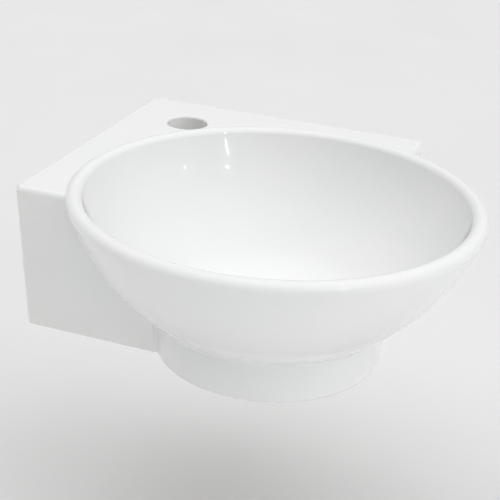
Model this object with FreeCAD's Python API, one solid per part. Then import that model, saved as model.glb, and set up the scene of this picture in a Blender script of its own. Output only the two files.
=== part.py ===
import FreeCAD, Part
import math
import os

from FreeCAD import Vector as V

# A round-bowled corner hand basin in glazed vitreous china, with its push-open
# waste and the bolts that hang it in the corner of two walls.
#
# Frame: millimetres, +Z up. The origin is where the two wall faces meet at the
# height of the deck. The rear wall is the plane y = 0 and the left wall the
# plane x = 0, so the basin lies at positive x and negative y.

os.makedirs("parts", exist_ok=True)

# --- china body -----------------------------------------------------------
wing_len = 260.0            # from the wall corner to each end panel, at the deck
wing_depth = 114.0          # from the wall to the front end of each end panel
panel_lean = 14.0           # how far an end panel leans in towards its bottom
block_bottom_z = -125.0     # lower edge of the wings and of the end panels
corner_round_r = 9.0        # plan rounding where the two walls meet
tip_round_r = 5.0           # plan rounding of the upright edges at the wing tips
panel_round_r = 7.0         # plan rounding of the front end of an end panel
deck_edge_r = 4.0           # rounding of the deck's edges
crease_r = 2.5              # softening where the wings meet the bowl and its skirt
foot_edge_r = 3.0           # rounding of the lower edges
deck_t = 13.0               # thickness of the deck
wing_wall_t = 12.0          # thickness of the walls below the deck

bowl_axis_from_corner = 263.5   # measured along the diagonal of the corner
bowl_r = 160.5              # outermost radius of the rim
rim_h = 3.0                 # how far the rim stands above the deck
bowl_wall_t = 13.0          # wall of the bowl, rounded over in full at the rim
bowl_side_r = 178.0         # outer curve of the bowl's side, in section
bowl_foot_r = 96.6          # radius and height at which the side turns in
bowl_foot_z = -92.0
floor_blend_r = 60.0        # inner curve between the side and the floor
floor_slope_deg = 2.5       # fall of the floor towards the waste

skirt_top_r = 95.0          # round skirt under the bowl, at the bowl's foot
skirt_bottom_r = 90.5
skirt_bottom_z = -130.0
skirt_fillet_r = 8.0        # hollow curve between the bowl and its skirt
skirt_edge_r = 4.0

tap_hole_r = 17.5           # standard hole for a single-hole tap
tap_hole_from_corner = 81.5
tap_hole_edge_r = 2.0

seat_r = 33.5               # recess that takes the flange of the waste
seat_depth = 4.0
waste_land_t = 12.0         # china between the recess and the nut's land
waste_land_r = 36.0

# --- wall fixings ---------------------------------------------------------
bolt_from_corner = 120.0
bolt_z = -62.0
bolt_r = 5.0                # ten millimetre hanger bolt
bolt_wood_r = 4.8           # its coarse wood thread
bolt_wall_len = 60.0        # coarse-threaded length that stands out behind
bolt_shoulder = 1.0         # from the wall face in to where the machine thread starts
bolt_end_past_nut = 6.0
bolt_point_len = 7.0
bolt_tip_r = 0.6
bolt_hole_r = 10.0
bolt_pad_r = 24.0           # thickened pad of china round each bolt hole
bolt_pad_t = 4.0
bush_clear = 0.3
bush_setback = 1.5          # the bush stops this far short of the wall
bolt_clear = 0.2
bush_flange_r = 16.0
bush_flange_t = 3.0
washer_r = 13.0
washer_t = 2.0
nut_flats = 17.0
nut_h = 8.0

# --- waste ----------------------------------------------------------------
waste_tube_r = 20.95        # inch-and-a-quarter pipe thread
waste_tube_wall_t = 2.95
waste_tube_len = 62.0       # below the seat in the china
waste_hole_clear = 2.05     # between the tube and its hole in the china
flange_r = 31.5
flange_t = 2.5
flange_edge_r = 1.0
tail_groove_w = 2.0         # relief that parts the nut's thread from the outlet's
tail_groove_depth = 0.8
tail_groove_gap = 1.0       # from the nut down to the relief
tail_chamfer = 1.0
throat_r = 22.5             # wide end of the cone that leads into the bore
throat_depth = 3.5
flange_gasket_t = 1.5
flange_gasket_inset = 1.0
tube_clear = 0.3
cone_gasket_r = 31.0
cone_gasket_t = 6.0
cone_gasket_neck = 3.0      # how far the cone reaches up into the china
cone_gasket_tip_w = 0.4
slip_washer_r = 29.0
slip_washer_t = 1.5
back_nut_flats = 52.0
back_nut_h = 11.0
back_nut_rim = 2.0          # height of the nut's round collar under the washer
spider_drop = 18.0          # from the seat down to the top of the cross arms
spider_h = 7.0
spider_hub_r = 8.0
spider_arm_w = 3.0
spider_arms = 4

# --- push-open plug -------------------------------------------------------
plug_travel = 9.0
plug_cap_r = 31.0
plug_cap_edge_t = 1.8
plug_cap_rise = 3.2
plug_rim_clear = 0.4        # between the closed cap and the flange
plug_neck_r = 12.0
plug_neck_len = 4.5
plug_seal_t = 2.6
plug_seal_clear = 0.5       # between the closed seal and the throat
plug_fit = 0.1
barrel_r = 5.5
barrel_wall_t = 1.1
barrel_len = 26.0
barrel_stand = 8.0          # how far the barrel stands above the cross arms
barrel_end_t = 1.5
barrel_collar_r = 7.0
barrel_collar_t = 2.0
plunger_rod_r = 2.5
plunger_head_t = 3.0
plunger_pin_r = 1.6
latch_ring_t = 3.0
latch_notches = 3
latch_notch_w = 1.6
latch_notch_r = 2.6         # the notches run outwards from here
slide_fit = 0.05
end_plug_t = 3.0
spring_wire_r = 0.4
spring_turns = 5
spring_end_gap = 0.05

OVERRUN = 5.0               # how far a cutting solid runs past what it cuts
REACH = 1.0                 # how near a corner of a wing an edge must stand to be its own
HAIR = 0.01                 # how near two faces count as touching

axis_x = bowl_axis_from_corner / math.sqrt(2.0)
tap_x = tap_hole_from_corner / math.sqrt(2.0)
AXIS = V(axis_x, -axis_x, 0)
UP = V(0, 0, 1)


def export(shape, node):
    """Write one sub-part as its own file."""
    shape.exportStep("parts/" + node + ".step")


def cylinder(r, z0, z1, at=AXIS):
    return Part.makeCylinder(r, z1 - z0, V(at.x, at.y, z0), UP)


def tube(r_out, r_in, z0, z1, at=AXIS):
    return cylinder(r_out, z0, z1, at).cut(cylinder(r_in, z0 - OVERRUN, z1 + OVERRUN, at))


def revolve(edges, at=AXIS):
    """Turn a closed outline in (radius, height) once round an upright axis."""
    face = Part.Face(Part.Wire(edges))
    solid = face.revolve(V(0, 0, 0), UP, 360)
    solid.translate(at)
    return Part.Solid(solid.Shells[0]) if solid.ShapeType != "Solid" else solid


def rz(r, z):
    """A point of an outline, from its radius and height."""
    return V(r, 0, z)


def line(a, b):
    return Part.LineSegment(a, b).toShape()


def arc(a, mid, b):
    return Part.Arc(a, mid, b).toShape()


def arc_about(centre, radius, a_deg, b_deg):
    """Arc about a centre of the outline, between two directions in degrees."""
    def at(deg):
        t = math.radians(deg)
        return centre + V(radius * math.cos(t), 0, radius * math.sin(t))
    return arc(at(a_deg), at(0.5 * (a_deg + b_deg)), at(b_deg)), at(a_deg), at(b_deg)


def mirrored(shape):
    """The same piece on the other wall, across the diagonal of the corner."""
    return shape.mirror(V(0, 0, 0), V(1, 1, 0))


# --- bowl section ---------------------------------------------------------
lip_r = bowl_wall_t / 2.0
lip_centre = rz(bowl_r - lip_r, rim_h - lip_r)


def side_centre():
    """Centre of the bowl's side curve: it touches the rim's round from outside
    and passes through the foot."""
    foot = rz(bowl_foot_r, bowl_foot_z)
    near = bowl_side_r - lip_r
    gap = foot - lip_centre
    d = gap.Length
    along = (near ** 2 - bowl_side_r ** 2 + d ** 2) / (2.0 * d)
    across = math.sqrt(near ** 2 - along ** 2)
    step = gap * (1.0 / d)
    normal = V(-step.z, 0, step.x)
    if normal.x > 0:
        normal = normal * -1.0
    return lip_centre + step * along + normal * across


side_c = side_centre()
rim_dir = math.degrees(math.atan2(lip_centre.z - side_c.z, lip_centre.x - side_c.x))
foot_dir = math.degrees(math.atan2(bowl_foot_z - side_c.z, bowl_foot_r - side_c.x))
floor_dir = -90.0 + floor_slope_deg
blend_c = side_c + V(
    (bowl_side_r - bowl_wall_t - floor_blend_r) * math.cos(math.radians(foot_dir)),
    0,
    (bowl_side_r - bowl_wall_t - floor_blend_r) * math.sin(math.radians(foot_dir)))


def bowl_skin(offset):
    """The bowl's section from rim to floor: offset 0 is the inner face and the
    wall's thickness is the outer face. Returns the edges and both ends."""
    r_side = bowl_side_r - bowl_wall_t + offset
    r_blend = floor_blend_r + offset
    side, top, _ = arc_about(side_c, r_side, rim_dir, foot_dir)
    blend, _, end = arc_about(blend_c, r_blend, foot_dir, floor_dir)
    return [side, blend], top, end


inner_edges, inner_top, inner_end = bowl_skin(0.0)
outer_edges, outer_top, outer_end = bowl_skin(bowl_wall_t)
floor_fall = math.tan(math.radians(floor_slope_deg))
floor_z = inner_end.z - (inner_end.x - seat_r) * floor_fall
seat_z = floor_z - seat_depth
land_z = seat_z - waste_land_t
waste_hole_r = waste_tube_r + waste_hole_clear


def bowl_mass():
    """The bowl as if it were full: rim, side, floor and the land for the nut."""
    crown = arc_about(lip_centre, lip_r, rim_dir, 90.0)[0]
    crest = lip_centre + V(0, 0, lip_r)
    land_top = rz(waste_land_r, outer_end.z - (outer_end.x - waste_land_r) * floor_fall)
    edges = [crown] + outer_edges
    edges += [line(outer_end, land_top), line(land_top, rz(waste_land_r, land_z))]
    edges += [line(rz(waste_land_r, land_z), rz(0, land_z)), line(rz(0, land_z), rz(0, crest.z))]
    edges.append(line(rz(0, crest.z), crest))
    return revolve(edges)


def bowl_core():
    """The space inside the middle of the bowl's wall, open above the deck. The
    wings are cut back to it, so that they end inside the wall."""
    edges, start, end = bowl_skin(lip_r)
    top = start + V(0, 0, OVERRUN + lip_r)
    edges = edges + [line(end, rz(0, end.z)), line(rz(0, end.z), rz(0, top.z))]
    edges += [line(rz(0, top.z), top), line(top, start)]
    return revolve(edges)


def outer_round():
    """Everything that is turned: the bowl inside and out, its rim, the recess
    for the waste, the hollow curve below the bowl and the skirt."""
    skirt_top = rz(skirt_top_r, bowl_foot_z)
    down = rz(skirt_bottom_r, skirt_bottom_z) - skirt_top
    down = down * (1.0 / down.Length)
    out = V(-down.z, 0, down.x)
    base = skirt_top + out * skirt_fillet_r - side_c
    reach = bowl_side_r + skirt_fillet_r
    along = base.dot(down)
    step = -along + math.sqrt(along ** 2 - base.Length ** 2 + reach ** 2)
    fillet_c = side_c + base + down * step
    side_dir = math.degrees(math.atan2(fillet_c.z - side_c.z, fillet_c.x - side_c.x))
    skirt_dir = math.degrees(math.atan2(-out.z, -out.x))
    crown = arc_about(lip_centre, lip_r, rim_dir, rim_dir + 180.0)[0]
    side = arc_about(side_c, bowl_side_r, rim_dir, side_dir)[0]
    hollow, _, skirt_start = arc_about(fillet_c, skirt_fillet_r, side_dir + 180.0,
                                       skirt_dir if skirt_dir > 0 else skirt_dir + 360.0)
    low = rz(skirt_bottom_r, skirt_bottom_z) - down * skirt_edge_r
    under = rz(skirt_bottom_r - skirt_edge_r, skirt_bottom_z)
    knee = skirt_edge_r * (1.0 - math.sqrt(0.5))
    recess_lip = rz(seat_r, floor_z)
    edges = [crown, side, hollow, line(skirt_start, low),
             arc(low, rz(skirt_bottom_r - knee, skirt_bottom_z + knee), under),
             line(under, rz(0, skirt_bottom_z)), line(rz(0, skirt_bottom_z), rz(0, seat_z)),
             line(rz(0, seat_z), rz(seat_r, seat_z)), line(rz(seat_r, seat_z), recess_lip),
             line(recess_lip, inner_end)]
    return revolve(edges + inner_edges)


def block_outline(inset, z):
    """Plan of the wings at one height: two legs along the walls, closed by a
    straight line between the panels' front ends, which lies under the bowl."""
    tip = wing_len - panel_lean * z / block_bottom_z - inset
    near = wing_depth - inset
    return [V(inset, -inset, z), V(tip, -inset, z), V(tip, -near, z),
            V(near, -tip, z), V(inset, -tip, z)]


def flat_face(pts):
    """Plane face that looks to the side from which its points run anticlockwise."""
    return Part.Face(Part.makePolygon(pts + pts[:1]))


def block_between(inset, z_top, z_bottom):
    """The wings between two heights, with their end panels leaning in. Every
    side is a plane."""
    top = block_outline(inset, z_top)
    bottom = block_outline(inset, z_bottom)
    sides = [flat_face([top[k - 1], top[k], bottom[k], bottom[k - 1]]) for k in range(len(top))]
    return Part.Solid(Part.Shell(sides + [flat_face(top[::-1]), flat_face(bottom)]))


def upright_edges(shape, test):
    """Edges of a block that run from bottom to top and stand where test says."""
    found = []
    for e in shape.Edges:
        a, b = e.Vertexes[0].Point, e.Vertexes[-1].Point
        if abs(a.z - b.z) > REACH and test(a if a.z > b.z else b):
            found.append(e)
    return found


def level_edges(shape, z):
    return [e for e in shape.Edges if all(abs(v.Z - z) < HAIR for v in e.Vertexes)]


def block_mass():
    """The wings with all their outer edges rounded."""
    body = block_between(0.0, 0.0, block_bottom_z)

    def at_tip(p):
        return abs(max(p.x, -p.y) - wing_len) < REACH and min(p.x, -p.y) < REACH

    def at_panel(p):
        return abs(max(p.x, -p.y) - wing_len) < REACH and min(p.x, -p.y) > REACH

    body = body.makeFillet(corner_round_r, upright_edges(body, lambda p: p.Length < REACH))
    body = body.makeFillet(tip_round_r, upright_edges(body, at_tip))
    body = body.makeFillet(panel_round_r, upright_edges(body, at_panel))
    body = body.makeFillet(deck_edge_r, level_edges(body, 0.0))
    return body.makeFillet(foot_edge_r, level_edges(body, block_bottom_z))


def rounded_creases(joined, part_a, part_b, radius):
    """Soften every edge along which two masses meet."""
    shells = [part_a.Shells[0], part_b.Shells[0]]
    creases = []
    for e in joined.Edges:
        middle = Part.Vertex(e.valueAt(0.5 * (e.FirstParameter + e.LastParameter)))
        if all(middle.distToShape(s)[0] < HAIR for s in shells):
            creases.append(e)
    return joined.makeFillet(radius, creases)


def china_cavity():
    """The hollow under the deck, open below, that the casting leaves."""
    wings = block_between(wing_wall_t, -deck_t, skirt_bottom_z - OVERRUN)
    round_part = cylinder(skirt_bottom_r - wing_wall_t, skirt_bottom_z - OVERRUN, bowl_foot_z)
    return wings.fuse(round_part).cut(bowl_mass())


def along_bolt(r, x0, x1):
    """A round piece on the left wall's bolt axis, between two depths."""
    return Part.makeCylinder(r, x1 - x0, V(x0, -bolt_from_corner, bolt_z), V(1, 0, 0))


def ring_on_bolt(r_out, r_in, x0, x1):
    return along_bolt(r_out, x0, x1).cut(along_bolt(r_in, x0 - OVERRUN, x1 + OVERRUN))


def tap_hole():
    """The hole through the deck, with its upper edge rounded over."""
    r, e = tap_hole_r, tap_hole_edge_r
    knee = e * (1.0 - math.sqrt(0.5))
    edges = [line(rz(0, -deck_t - OVERRUN), rz(r, -deck_t - OVERRUN)),
             line(rz(r, -deck_t - OVERRUN), rz(r, -e)),
             arc(rz(r, -e), rz(r + knee, -knee), rz(r + e, 0)),
             line(rz(r + e, 0), rz(r + e, OVERRUN)), line(rz(r + e, OVERRUN), rz(0, OVERRUN)),
             line(rz(0, OVERRUN), rz(0, -deck_t - OVERRUN))]
    return revolve(edges, V(tap_x, -tap_x, 0))


def basin_body():
    block = block_mass().cut(bowl_core())
    outer = outer_round()
    shell = rounded_creases(block.fuse(outer).removeSplitter().Solids[0], block, outer, crease_r)
    shell = shell.cut(china_cavity())
    pad = along_bolt(bolt_pad_r, 0.5 * wing_wall_t, wing_wall_t + bolt_pad_t)
    shell = shell.fuse([pad, mirrored(pad)])
    hole = along_bolt(bolt_hole_r, -OVERRUN, wing_wall_t + bolt_pad_t + OVERRUN)
    drain = cylinder(waste_hole_r, land_z - OVERRUN, seat_z + OVERRUN)
    return shell.cut([drain, tap_hole(), hole, mirrored(hole)]).removeSplitter()


# --- wall fixings, drawn on the left wall ----------------------------------
bush_face = wing_wall_t + bolt_pad_t
washer_face = bush_face + bush_flange_t
nut_face = washer_face + washer_t
bolt_end = nut_face + nut_h + bolt_end_past_nut


def hanger_bolt():
    """A stud with a pointed wood thread in the wall and a machine thread inside."""
    shank = along_bolt(bolt_r, bolt_shoulder, bolt_end)
    wood = along_bolt(bolt_wood_r, -bolt_wall_len + bolt_point_len, bolt_shoulder)
    point = Part.makeCone(bolt_tip_r, bolt_wood_r, bolt_point_len,
                          V(-bolt_wall_len, -bolt_from_corner, bolt_z), V(1, 0, 0))
    return shank.fuse([wood, point])


def bolt_bush():
    """A flanged plastic bush that centres the stud in the china."""
    sleeve = along_bolt(bolt_hole_r - bush_clear, bush_setback, bush_face)
    flange = along_bolt(bush_flange_r, bush_face, washer_face)
    bore = along_bolt(bolt_r + bolt_clear, -OVERRUN, washer_face + OVERRUN)
    return sleeve.fuse(flange).cut(bore)


def bolt_washer():
    return ring_on_bolt(washer_r, bolt_r + bolt_clear, washer_face, nut_face)


def hexagon(flats, height):
    """A hexagonal bar on the upright axis, from its width across the flats."""
    r = flats / math.sqrt(3.0)
    pts = [V(r * math.cos(math.radians(60 * k)), r * math.sin(math.radians(60 * k)), 0)
           for k in range(7)]
    return Part.Face(Part.makePolygon(pts)).extrude(V(0, 0, height))


def hex_nut(flats, height, hole_r):
    """A hexagonal nut with its corners turned off at both ends."""
    blank = hexagon(flats, height)
    corner = flats / math.sqrt(3.0)
    drop = (corner - 0.5 * flats) * math.tan(math.radians(30.0))
    low = Part.makeCone(0.5 * flats, corner + drop, (corner + drop - 0.5 * flats) / math.sqrt(3.0))
    rest = Part.makeCylinder(corner + drop, height, V(0, 0, low.BoundBox.ZMax))
    turned = low.fuse(rest)
    flipped = turned.mirror(V(0, 0, 0.5 * height), UP)
    return blank.common(turned).common(flipped).cut(Part.makeCylinder(hole_r, height))


def bolt_nut():
    nut = hex_nut(nut_flats, nut_h, bolt_r)
    nut.rotate(V(0, 0, 0), V(0, 1, 0), 90)
    nut.translate(V(nut_face, -bolt_from_corner, bolt_z))
    return nut


# --- waste ----------------------------------------------------------------
waste_bore_r = waste_tube_r - waste_tube_wall_t
flange_z = seat_z + flange_gasket_t
flange_top_z = flange_z + flange_t
tube_end_z = seat_z - waste_tube_len
spider_z = seat_z - spider_drop
gasket_low_z = land_z - cone_gasket_t
washer_low_z = gasket_low_z - slip_washer_t
nut_low_z = washer_low_z - back_nut_rim - back_nut_h
barrel_top_z = spider_z + barrel_stand
barrel_low_z = barrel_top_z - barrel_len
barrel_bore_r = barrel_r - barrel_wall_t


def waste_body():
    """Flange, cone and threaded tube in one, with cross arms that hold a hub."""
    top, under = flange_top_z, flange_z
    e = flange_edge_r
    knee = e * (1.0 - math.sqrt(0.5))
    groove_top = nut_low_z - tail_groove_gap
    groove_low = groove_top - tail_groove_w
    groove_r = waste_tube_r - tail_groove_depth
    edges = [line(rz(waste_bore_r, tube_end_z), rz(waste_tube_r - tail_chamfer, tube_end_z)),
             line(rz(waste_tube_r - tail_chamfer, tube_end_z),
                  rz(waste_tube_r, tube_end_z + tail_chamfer)),
             line(rz(waste_tube_r, tube_end_z + tail_chamfer), rz(waste_tube_r, groove_low)),
             line(rz(waste_tube_r, groove_low), rz(groove_r, groove_low)),
             line(rz(groove_r, groove_low), rz(groove_r, groove_top)),
             line(rz(groove_r, groove_top), rz(waste_tube_r, groove_top)),
             line(rz(waste_tube_r, groove_top), rz(waste_tube_r, under)),
             line(rz(waste_tube_r, under), rz(flange_r, under)),
             line(rz(flange_r, under), rz(flange_r, top - e)),
             arc(rz(flange_r, top - e), rz(flange_r - knee, top - knee), rz(flange_r - e, top)),
             line(rz(flange_r - e, top), rz(throat_r, top)),
             line(rz(throat_r, top), rz(waste_bore_r, top - throat_depth)),
             line(rz(waste_bore_r, top - throat_depth), rz(waste_bore_r, tube_end_z))]
    body = revolve(edges)
    hub = cylinder(spider_hub_r, spider_z - spider_h, spider_z)
    reach = waste_bore_r + 0.5 * (waste_tube_r - waste_bore_r)
    for k in range(spider_arms):
        arm = Part.makeBox(reach, spider_arm_w, spider_h,
                           V(axis_x, -axis_x - 0.5 * spider_arm_w, spider_z - spider_h))
        arm.rotate(AXIS, UP, 45.0 + 360.0 * k / spider_arms)
        hub = hub.fuse(arm)
    socket = cylinder(barrel_r + slide_fit, spider_z - spider_h - OVERRUN, spider_z + OVERRUN)
    return body.fuse(hub.cut(socket)).removeSplitter()


def flange_gasket():
    return tube(flange_r - flange_gasket_inset, waste_tube_r + tube_clear, seat_z, flange_z)


def cone_gasket():
    """Rubber ring under the china whose neck wedges up into the hole."""
    hole = waste_tube_r + tube_clear
    neck_r = waste_hole_r - tube_clear
    tip_z = land_z + cone_gasket_neck
    edges = [line(rz(hole, gasket_low_z), rz(cone_gasket_r, gasket_low_z)),
             line(rz(cone_gasket_r, gasket_low_z), rz(cone_gasket_r, land_z)),
             line(rz(cone_gasket_r, land_z), rz(neck_r, land_z)),
             line(rz(neck_r, land_z), rz(hole + cone_gasket_tip_w, tip_z)),
             line(rz(hole + cone_gasket_tip_w, tip_z), rz(hole, tip_z)),
             line(rz(hole, tip_z), rz(hole, gasket_low_z))]
    return revolve(edges)


def slip_washer():
    return tube(slip_washer_r, waste_tube_r + tube_clear, washer_low_z, gasket_low_z)


def back_nut():
    nut = hex_nut(back_nut_flats, back_nut_h, waste_tube_r)
    nut.translate(V(axis_x, -axis_x, nut_low_z))
    collar = tube(0.5 * back_nut_flats, waste_tube_r, washer_low_z - back_nut_rim, washer_low_z)
    return nut.fuse(collar).removeSplitter()


# --- push-open plug, drawn shut --------------------------------------------
cap_under_z = flange_top_z + plug_rim_clear
cap_edge_z = cap_under_z + plug_cap_edge_t
cap_top_z = cap_edge_z + plug_cap_rise
neck_low_z = cap_under_z - plug_neck_len
barrel_roof_z = barrel_top_z - barrel_end_t
head_top_z = barrel_roof_z - plug_travel
head_low_z = head_top_z - plunger_head_t
ring_low_z = head_low_z - latch_ring_t
end_plug_z = barrel_low_z + end_plug_t


def cartridge_barrel():
    """The cartridge's case: closed at the top round the rod, open below."""
    body = cylinder(barrel_r, barrel_low_z, barrel_top_z)
    body = body.fuse(cylinder(barrel_collar_r, spider_z, spider_z + barrel_collar_t))
    body = body.cut(cylinder(barrel_bore_r, barrel_low_z - OVERRUN, barrel_roof_z))
    return body.cut(cylinder(plunger_rod_r + slide_fit, head_low_z, barrel_top_z + OVERRUN))


def cartridge_end_plug():
    return cylinder(barrel_bore_r, barrel_low_z, end_plug_z)


def cartridge_plunger():
    """Rod with a guiding head in the barrel and a pin that carries the ring."""
    rod = cylinder(plunger_rod_r, head_top_z, cap_under_z)
    head = cylinder(barrel_bore_r - slide_fit, head_low_z, head_top_z)
    pin = cylinder(plunger_pin_r, ring_low_z, head_low_z)
    return rod.fuse([head, pin]).removeSplitter()


def cartridge_latch_ring():
    """The ring that catches on alternate pushes, notched to let it turn."""
    ring = tube(barrel_bore_r - 2.0 * slide_fit, plunger_pin_r + slide_fit, ring_low_z, head_low_z)
    for k in range(latch_notches):
        notch = Part.makeBox(barrel_r, latch_notch_w, 0.5 * latch_ring_t,
                             V(axis_x + latch_notch_r, -axis_x - 0.5 * latch_notch_w,
                               ring_low_z + 0.5 * latch_ring_t))
        notch.rotate(AXIS, UP, 360.0 * k / latch_notches)
        ring = ring.cut(notch)
    return ring


def cartridge_spring():
    """The spring that lifts the plug, between the end plug and the ring."""
    coil_r = barrel_bore_r - spring_wire_r - 2.0 * slide_fit
    low = end_plug_z + spring_wire_r + spring_end_gap
    high = ring_low_z - spring_wire_r - spring_end_gap
    helix = Part.makeHelix((high - low) / spring_turns, high - low, coil_r)
    pts = [V(coil_r + spring_wire_r * math.cos(math.radians(60 * k)), 0,
             spring_wire_r * math.sin(math.radians(60 * k))) for k in range(7)]
    wire = Part.makePolygon(pts)
    coil = Part.Wire(helix).makePipeShell([wire], True, True)
    coil.translate(V(axis_x, -axis_x, low))
    return coil


def plug_cap():
    """A low domed cap with a neck that carries the seal and takes the rod."""
    dome_r = (plug_cap_r ** 2 + plug_cap_rise ** 2) / (2.0 * plug_cap_rise)
    edge_dir = math.degrees(math.asin(plug_cap_r / dome_r))
    dome = arc_about(rz(0, cap_top_z - dome_r), dome_r, 90.0 - edge_dir, 90.0)[0]
    edges = [dome,
             line(rz(0, cap_top_z), rz(0, neck_low_z)),
             line(rz(0, neck_low_z), rz(plug_neck_r, neck_low_z)),
             line(rz(plug_neck_r, neck_low_z), rz(plug_neck_r, cap_under_z)),
             line(rz(plug_neck_r, cap_under_z), rz(plug_cap_r, cap_under_z)),
             line(rz(plug_cap_r, cap_under_z), rz(plug_cap_r, cap_edge_z))]
    return revolve(edges).cut(cylinder(plunger_rod_r, neck_low_z - OVERRUN, cap_under_z))


def plug_seal():
    """Rubber ring under the cap that meets the throat when the plug is down."""
    closed_depth = plug_seal_t - plug_rim_clear
    seat_at = throat_r - (throat_r - waste_bore_r) * closed_depth / throat_depth
    return tube(seat_at - plug_seal_clear, plug_neck_r + plug_fit,
                cap_under_z - plug_seal_t, cap_under_z)


def pair(shape):
    """One piece on each wall, kept as two solids."""
    return Part.makeCompound([shape, mirrored(shape)])


NODES = {
    "basin_body": basin_body,
    "hanger_bolts": lambda: pair(hanger_bolt()),
    "bolt_bushes": lambda: pair(bolt_bush()),
    "bolt_washers": lambda: pair(bolt_washer()),
    "bolt_nuts": lambda: pair(bolt_nut()),
    "waste_body": waste_body,
    "flange_gasket": flange_gasket,
    "cone_gasket": cone_gasket,
    "slip_washer": slip_washer,
    "back_nut": back_nut,
    "cartridge_barrel": cartridge_barrel,
    "cartridge_end_plug": cartridge_end_plug,
    "cartridge_plunger": cartridge_plunger,
    "cartridge_latch_ring": cartridge_latch_ring,
    "cartridge_spring": cartridge_spring,
    "plug_cap": plug_cap,
    "plug_seal": plug_seal,
}

for node, make in NODES.items():
    export(make(), node)
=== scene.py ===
import math

import bpy
import numpy as np
from mathutils import Matrix, Vector


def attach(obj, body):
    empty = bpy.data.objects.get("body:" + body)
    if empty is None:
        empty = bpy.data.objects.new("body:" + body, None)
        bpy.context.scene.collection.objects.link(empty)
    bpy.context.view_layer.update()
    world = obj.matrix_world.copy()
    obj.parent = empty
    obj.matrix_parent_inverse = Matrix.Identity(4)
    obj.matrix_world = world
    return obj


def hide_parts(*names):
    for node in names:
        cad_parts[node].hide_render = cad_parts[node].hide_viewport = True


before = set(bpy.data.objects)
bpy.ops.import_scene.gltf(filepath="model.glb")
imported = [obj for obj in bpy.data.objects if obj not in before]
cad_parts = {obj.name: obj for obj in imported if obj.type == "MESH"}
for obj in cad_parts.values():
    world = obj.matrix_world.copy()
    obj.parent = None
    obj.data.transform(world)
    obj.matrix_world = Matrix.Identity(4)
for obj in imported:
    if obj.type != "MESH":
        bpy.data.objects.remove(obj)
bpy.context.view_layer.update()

# A glazed corner basin with its waste and wall bolts. Metres, +Z up; the
# origin is where the two wall faces meet at the height of the deck.

TAU = 2.0 * math.pi
MM = 0.001

AXIS_X = 0.2635 / math.sqrt(2.0)        # upright axis of the bowl and the waste

WING_LEN = 0.260                        # wall corner to each end panel, at the deck
WING_DEPTH = 0.114                      # wall to the front end of each end panel
PANEL_LEAN = 0.014                      # how far an end panel leans in towards its bottom
BLOCK_LOW = -0.125                      # lower edge of the wings
SKIRT_LOW = -0.130                      # lower edge of the round skirt
SKIRT_INSIDE = 0.0785                   # radius of the hollow inside the skirt
SKIRT_CEILING = -0.0995                 # that hollow lies below this height
DECK_UNDER = -0.013                     # underside of the deck
WALL = 0.012                            # walls below the deck

BOWL_R = 0.1605                         # outermost radius of the rim
RIM_H = 0.003                           # how far the rim stands above the deck
BOWL_WALL = 0.013                       # wall of the bowl, rounded over at the rim
SIDE_R = 0.178                          # outer curve of the bowl's side, in section
FOOT_R, FOOT_Z = 0.0966, -0.092         # where the side turns in
BLEND_R = 0.060                         # inner curve between the side and the floor
FLOOR_SLOPE = math.radians(2.5)         # fall of the floor towards the waste
SKIRT_TOP_R, SKIRT_BOTTOM_R = 0.0950, 0.0905

BOLT_AT = 0.120                         # wall corner to each bolt
BOLT_Z = -0.062

SMOOTH_COS = 0.5                        # faces that turn less than 60 degrees shade as one
FINEST_TURN = math.radians(4.2)         # edges along which the surface turns more are split
FINER_PASSES = 3
ON_FACE = 0.0005                        # points closer than this to a plane lie on it
IN_HOLLOW = 0.0006                      # and closer than this to a wall, in the hollow
HOLLOW_BARE = 0.10                      # glaze misses little of the hollow under the deck
HOLLOW_THIN = 0.9                       # and lies thin there


# --- arrays ------------------------------------------------------------------

def joined(points, tris):
    """Points closer than a micrometre become one point; empty triangles go."""
    _, first, back = np.unique(np.round(points * 1e6).astype(np.int64), axis=0,
                               return_index=True, return_inverse=True)
    tris = back.ravel()[tris]
    kept = ((tris[:, 0] != tris[:, 1]) & (tris[:, 1] != tris[:, 2])
            & (tris[:, 2] != tris[:, 0]))
    return points[first], tris[kept]


def from_grid(grid, wrap_rows):
    """Triangles over a grid of points: every cell between two rows and two
    columns gives two. Columns always close; rows close where asked. A row whose
    points fall together becomes a pole."""
    rows, cols = grid.shape[:2]
    r = np.arange(rows if wrap_rows else rows - 1)[:, None]
    c = np.arange(cols)[None, :]
    nr, nc = (r + 1) % rows, (c + 1) % cols
    a, b, d, e = (x.ravel() for x in np.broadcast_arrays(
        r * cols + c, nr * cols + c, nr * cols + nc, r * cols + nc))
    tris = np.concatenate([np.stack([a, b, d], 1), np.stack([a, d, e], 1)])
    return joined(grid.reshape(-1, 3), tris)


def face_normals(points, tris):
    """Unit normals and areas of triangles, from the cross product of two sides."""
    a, b, c = points[tris[:, 0]], points[tris[:, 1]], points[tris[:, 2]]
    cross = np.cross(b - a, c - a)
    size = np.linalg.norm(cross, axis=1)
    return cross / np.maximum(size, 1e-20)[:, None], 0.5 * size


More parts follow.
